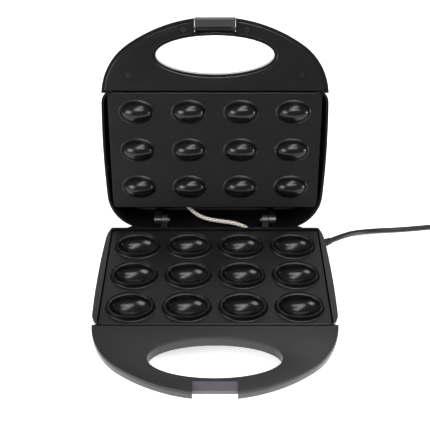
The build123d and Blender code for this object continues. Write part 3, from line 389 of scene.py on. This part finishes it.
def steel(name, base, rough, streak="8d8d8d"):
    """Metal with fine drawing marks that break up its gloss."""
    material, tree = new_material(name)
    place = add_node(tree, "ShaderNodeNewGeometry").outputs["Position"]
    marks = add_node(tree, "ShaderNodeTexNoise", Vector=place, Scale=1 / (0.8 * MM), Detail=4.0)
    gloss = add_node(tree, "ShaderNodeMapRange", Value=marks.outputs["Fac"],
                     To_Min=rough - 0.08, To_Max=rough + 0.08)
    shade = add_node(tree, "ShaderNodeMix", {"data_type": "RGBA"}, Factor=marks.outputs["Fac"],
                     _6=colour(base), _7=colour(streak))
    coat = add_node(tree, "ShaderNodeBsdfPrincipled", Base_Color=shade.outputs[2],
                    Roughness=gloss.outputs[0], Metallic=1.0)
    add_node(tree, "ShaderNodeOutputMaterial", Surface=coat.outputs[0])
    return material


# The screws take a dark steel grey, much darker than the zinc-plated parts.
finish_node("lid_handle_screws", steel("dark_screw_steel", "3a3a3b", 0.45, "2b2b2c"))
zinc_steel = steel("zinc_plated_steel", "9a9a98", 0.35)
finish_node("latch_pin", zinc_steel)
finish_node("latch_spring", zinc_steel)

# --- Lid mould plate ----------------------------------------------------------------------------
# The second casting carries twelve domes, each on a low sloping foot, that press the filling's
# hollow. The same coat covers it, matt on the flats and smooth on the domes.
HINGE_Y, HINGE_Z, LID_OPEN = 73.0, 42.0, 114.0
DOME_A, DOME_B, DOME_HEIGHT = 15.7, 10.3, 9.9
DOME_FIRST_ANGLE = 12.0
# Offset from the dome's oval, and height.
FOOT_PROFILE = [(2.4, 0.0), (1.9, 0.0), (1.55, 0.05), (1.25, 0.22), (0.4, 0.92), (0.08, 1.2),
                (-0.1, 1.5)]
dome = grown(DOME_A, DOME_B, FOOT_PROFILE)
dome += rounded(DOME_A, DOME_B, DOME_HEIGHT, 0.0, DOME_FIRST_ANGLE)
dome_back = [(DOME_A, DOME_B, -PLATE_THICKNESS), (DOME_A / 2, DOME_B / 2, -PLATE_THICKNESS)]
hinge = Matrix.Translation((0, HINGE_Y, HINGE_Z))
opened = hinge @ Matrix.Rotation(radians(-LID_OPEN), 4, "X") @ hinge.inverted()
face_down = Matrix.Translation((0, 0, LID_FACE_Z)) @ Matrix.Diagonal((1, 1, -1, 1))
lid_plate = cast_plate("lid_cast_plate", dome, len(FOOT_PROFILE), dome_back,
                       (flat_coat, smooth_coat), in_metres @ opened @ face_down)
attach(lid_plate, "lid")
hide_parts("lid_mould_plate")

# --- Heating and wiring -------------------------------------------------------------------------
# Tubular elements with annealed steel sheaths, folded steel heat shields, a phenolic thermostat
# and silicone-covered leads, all hidden between the castings and the housings.
for node in ("base_plate_screws", "lid_plate_screws", "thermostat_screws", "fuse_clip",
             "thermal_fuse"):
    finish_node(node, zinc_steel)
shield_steel = steel("aluminised_sheet", "5a5a59", 0.5, "444444")
finish_node("base_heat_shield", shield_steel)
finish_node("lid_heat_shield", shield_steel)
element_steel = steel("annealed_sheath_steel", "6f6a63", 0.42)
finish_node("base_heating_element", element_steel)
finish_node("lid_heating_element", element_steel)
finish_node("thermostat", moulded("phenolic_brown", "3f2a1e", 0.5))
finish_node("terminal_block", moulded("nylon_natural", "d8d3c5", 0.45))
silicone = moulded("silicone_lead", "cdc8bb", 0.5)
finish_node("base_wiring", silicone)
finish_node("lid_wiring", silicone)

# --- Indicator lamps ----------------------------------------------------------------------------
# Two polished plastic lenses, one red and one green, show through the lid's outer face, with a
# small neon lamp behind each. They keep their CAD shapes and take a plain glossy finish.
finish_node("lamp_lens_red", moulded("lens_red", "a01812", 0.12, 1.0, 0.02, drift=0.02))
finish_node("lamp_lens_green", moulded("lens_green", "1d8a3c", 0.12, 1.0, 0.02, drift=0.02))
finish_node("neon_lamps", moulded("lamp_glass", "cfcac2", 0.1, 1.0, 0.02, drift=0.02))

# --- Hinge pins ---------------------------------------------------------------------------------
# Turned steel pins with a plain head, one through each pair of ears, dulled by handling. They
# keep their CAD shapes, and fine drawing marks break up the metal's gloss.
finish_node("hinge_pins", steel("dulled_pin_steel", "48484a", 0.42, "3a3a3b"))

# --- Wire sleeve --------------------------------------------------------------------------------
# The leads to the lid cross the hinge in a braided glass-fibre sleeve, 4 mm across: a mesh tube
# bent along a fixed route between the two bodies, attached to neither. Its strands are drawn over
# 1 mm wide, coarser than a real braid's, so that they show.
SLEEVE_RADIUS = 2.0
SLEEVE_SIDES, SLEEVE_STEPS = 28, 14
STRANDS, BRAID_SLOPE = 5, 3.0
SLEEVE_ROUTE = [
    (-33.6, 96.0, 47.4), (-26.2, 91.0, 42.0), (-18.5, 85.0, 38.4), (-8.4, 80.0, 37.2),
    (4.1, 76.0, 38.2), (17.0, 72.5, 39.4), (28.3, 69.2, 38.4), (35.8, 66.9, 33.5),
    (37.0, 66.2, 27.0),
]


def smooth_route(points, steps):
    """Points along a uniform quadratic spline that touches the runs' middles and both ends."""
    middles = [points[0]] + [(a + b) / 2 for a, b in zip(points[1:-2], points[2:-1])] + [points[-1]]
    line = []
    for start, control, end in zip(middles, points[1:-1], middles[1:]):
        for i in range(steps):
            t = i / steps
            line.append(start * (1 - t) ** 2 + control * 2 * t * (1 - t) + end * t * t)
    return line + [points[-1]]


def braid_material():
    """Glass-fibre braid: two sets of pale strands that cross at a steep angle, with painted shade in
    the low places between them.
    """
    material, tree = new_material("glass_braid")
    spot = add_node(tree, "ShaderNodeSeparateXYZ", Vector=add_node(
        tree, "ShaderNodeUVMap", {"uv_map": "braid"}).outputs[0])
    waves = []
    for kind in ("ADD", "SUBTRACT"):
        across = add_node(tree, "ShaderNodeMath", {"operation": kind}, _0=spot.outputs[0],
                          _1=spot.outputs[1])
        turn = add_node(tree, "ShaderNodeMath", {"operation": "MULTIPLY"}, _0=across.outputs[0],
                        _1=tau)
        wave = add_node(tree, "ShaderNodeMath", {"operation": "SINE"}, _0=turn.outputs[0])
        waves.append(wave.outputs[0])
    height = add_node(tree, "ShaderNodeMath", {"operation": "MAXIMUM"}, _0=waves[0], _1=waves[1])
    # Painted shade: the low places of the weave, between the strands, take the darker colour 5f5a54.
    painted_crease_shade = add_node(tree, "ShaderNodeMapRange", Value=height.outputs[0], From_Min=-0.6)
    shade = add_node(tree, "ShaderNodeMix", {"data_type": "RGBA"}, Factor=painted_crease_shade.outputs[0],
                     _6=colour("5f5a54"), _7=colour("cdc7be"))
    bump = add_node(tree, "ShaderNodeBump", Height=height.outputs[0], Strength=0.8,
                    Distance=0.15 * MM)
    coat = add_node(tree, "ShaderNodeBsdfPrincipled", Base_Color=shade.outputs[2], Roughness=0.6,
                    Normal=bump.outputs[0])
    add_node(tree, "ShaderNodeOutputMaterial", Surface=coat.outputs[0])
    return material


def sleeve_mesh():
    """A closed tube round the route, with its strands' pitch as the unit of the braid's map."""
    route = smooth_route([Vector(p) for p in SLEEVE_ROUTE], SLEEVE_STEPS)
    mesh = bmesh.new()
    braid = mesh.loops.layers.uv.new("braid")
    side = Vector((0, 0, 1))
    loops, lengths = [], [0.0]
    for i, centre in enumerate(route):
        run = (route[min(i + 1, len(route) - 1)] - route[max(i - 1, 0)]).normalized()
        side = (side - run * side.dot(run)).normalized()
        other = run.cross(side)
        loops.append([mesh.verts.new(centre + (side * cos(tau * k / SLEEVE_SIDES)
                                               + other * sin(tau * k / SLEEVE_SIDES)) * SLEEVE_RADIUS)
                      for k in range(SLEEVE_SIDES)])
        if i:
            lengths.append(lengths[-1] + (centre - route[i - 1]).length)
    strand_pitch = tau * SLEEVE_RADIUS / STRANDS
    for i, (one, two) in enumerate(zip(loops, loops[1:])):
        for k in range(SLEEVE_SIDES):
            j = (k + 1) % SLEEVE_SIDES
            face = mesh.faces.new([one[k], one[j], two[j], two[k]])
            face.smooth = True
            around = [k, k + 1, k + 1, k]
            along = [lengths[i], lengths[i], lengths[i + 1], lengths[i + 1]]
            for loop, u, v in zip(face.loops, around, along):
                loop[braid].uv = (STRANDS * u / SLEEVE_SIDES, v / (BRAID_SLOPE * strand_pitch))
    mesh.faces.new(loops[0][::-1])
    mesh.faces.new(loops[-1])
    bmesh.ops.transform(mesh, matrix=in_metres, verts=mesh.verts)
    bmesh.ops.recalc_face_normals(mesh, faces=mesh.faces)
    data = bpy.data.meshes.new("braided_sleeve")
    mesh.to_mesh(data)
    mesh.free()
    data.materials.append(braid_material())
    return data


sleeve = add_object("braided_sleeve", sleeve_mesh())
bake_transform(sleeve)
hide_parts("wire_sleeve")

# --- Power cord ---------------------------------------------------------------------------------
# Round two-core PVC lead, 5.8 mm over its sheath. It leaves the strain relief, droops to the
# table and runs off to the side, where the spare length is coiled in a tie before the plug.
plug_pvc = moulded("plug_pvc", "141415", 0.45, 0.4, 0.3)
finish_node("strain_relief", plug_pvc)
finish_node("plug_body", plug_pvc)
finish_node("cord_tie", plug_pvc)
finish_node("plug_pins", steel("nickel_brass", "c9c2ae", 0.2))
CORD_DIAMETER = 5.8 * MM
CORD_ROUTE = [
    (121.26, 70.02, 15.0), (131.95, 75.47, 15.0), (147.5, 85.5, 10.6), (161.5, 92.6, 5.6),
    (178.0, 97.0, 2.9), (200.0, 98.2, 2.9), (222.0, 100.6, 2.9), (240.0, 103.0, 2.9),
    (267.5, 104.6, 3.0),
]
PLUG_LEAD = [(328.6, 153.0, 9.2), (330.6, 168.0, 13.0), (330.6, 181.0, 13.0)]
COIL_CENTRE = (293.0, 142.0)
COIL_OUTER, COIL_INNER, COIL_UPPER = 38.4, 32.4, 35.2
COIL_STEPS, COIL_TURNS = 18, 2.25
LOW_Z, HIGH_Z, CROSSING_Z = 3.1, 8.3, 9.0


def eased(value, start, end):
    """0 before start, 1 after end, and a smooth rise between them."""
    t = min(max((value - start) / (end - start), 0.0), 1.0)
    return t * t * (3 - 2 * t)


def coil_point(turns):
    """A point of the coil after that many turns from its start at the front."""
    radius = COIL_OUTER - (COIL_OUTER - COIL_INNER) * eased(turns, 0.80, 1.0)
    radius += (COIL_UPPER - COIL_INNER) * eased(turns, 1.70, 2.05)
    height = LOW_Z + (CROSSING_Z - LOW_Z) * eased(turns, 1.50, 1.78)
    height -= (CROSSING_Z - HIGH_Z) * eased(turns, 1.95, 2.2)
    angle = tau * (turns - 0.25)
    return (COIL_CENTRE[0] + radius * cos(angle), COIL_CENTRE[1] + radius * sin(angle), height)


coil_points = [coil_point(i / COIL_STEPS) for i in range(int(COIL_TURNS * COIL_STEPS) + 1)]
cord_points = CORD_ROUTE + coil_points + PLUG_LEAD
cord_curve = bpy.data.curves.new("power_lead", "CURVE")
cord_curve.dimensions = "3D"
cord_curve.bevel_depth = CORD_DIAMETER / 2
cord_curve.bevel_resolution = 6
cord_curve.resolution_u = 8
cord_curve.use_fill_caps = True
spline = cord_curve.splines.new("NURBS")
spline.points.add(len(cord_points) - 1)
for control, point in zip(spline.points, cord_points):
    control.co = (*(in_metres @ Vector(point)), 1.0)
spline.order_u = 3
spline.use_endpoint_u = True
cord_curve.materials.append(moulded("cord_pvc", "131314", 0.38, 0.4, 0.3))
power_cord = add_object("power_lead", cord_curve)
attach(power_cord, "base")
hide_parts("power_cord", "power_cord_coil", "plug_lead")
